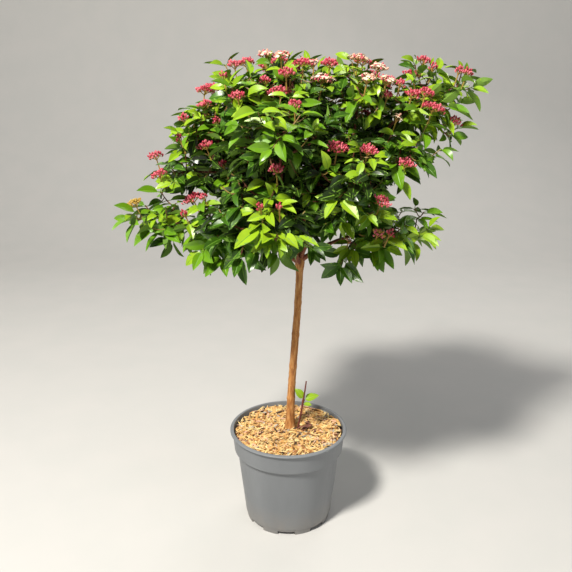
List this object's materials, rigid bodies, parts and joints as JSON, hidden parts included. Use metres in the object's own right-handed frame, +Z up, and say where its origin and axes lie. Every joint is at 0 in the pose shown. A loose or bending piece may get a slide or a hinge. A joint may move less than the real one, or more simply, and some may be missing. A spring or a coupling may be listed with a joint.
{
  "type": "standard laurustinus in a pot",
  "caption": "Evergreen shrub trained as a small standard: a clear stem with a wide, flat-topped leafy crown and flower heads, in a round nursery pot.",
  "frame": {"origin": "centre of the pot's flat underside, at ground level", "axes": "+Z up along the stem; -Y towards the front, the side the crown is seen from; +X to the right seen from the front"},
  "size_m": [0.5447, 0.4005, 0.749],
  "materials": {
    "pot": "satin mid-grey moulded plastic",
    "compost": "dark moist potting compost",
    "mulch": "loose pale shredded wood and straw",
    "bark": "smooth tan to red-brown bark with small lenticels",
    "foliage": "glossy leathery leaves and pink-budded flower heads"
  },
  "bodies": {
    "root": {"pot": "pot", "compost": "compost", "mulch": "mulch", "trunk": "bark", "bough_left_tip": "bark", "bough_left": "bark", "bough_left_middle": "bark", "bough_left_high": "bark", "bough_top_left": "bark", "bough_top": "bark", "bough_top_right": "bark", "bough_right_high": "bark", "bough_right_middle": "bark", "bough_right": "bark", "bough_front_high": "bark", "bough_front": "bark", "bough_front_right": "bark", "bough_back_left": "bark", "bough_back_right": "bark", "bough_back": "bark", "bough_back_top": "bark", "bough_middle_left": "bark", "bough_middle_right": "bark", "foliage_left_tip": "foliage", "foliage_left": "foliage", "foliage_left_middle": "foliage", "foliage_left_high": "foliage", "foliage_top_left": "foliage", "foliage_top": "foliage", "foliage_top_right": "foliage", "foliage_right_high": "foliage", "foliage_right_middle": "foliage", "foliage_right": "foliage", "foliage_front_high": "foliage", "foliage_front": "foliage", "foliage_front_right": "foliage", "foliage_back_left": "foliage", "foliage_back_right": "foliage", "foliage_back": "foliage", "foliage_back_top": "foliage", "foliage_middle_left": "foliage", "foliage_middle_right": "foliage", "foot_shoot": "foliage"}
  },
  "joints": []
}
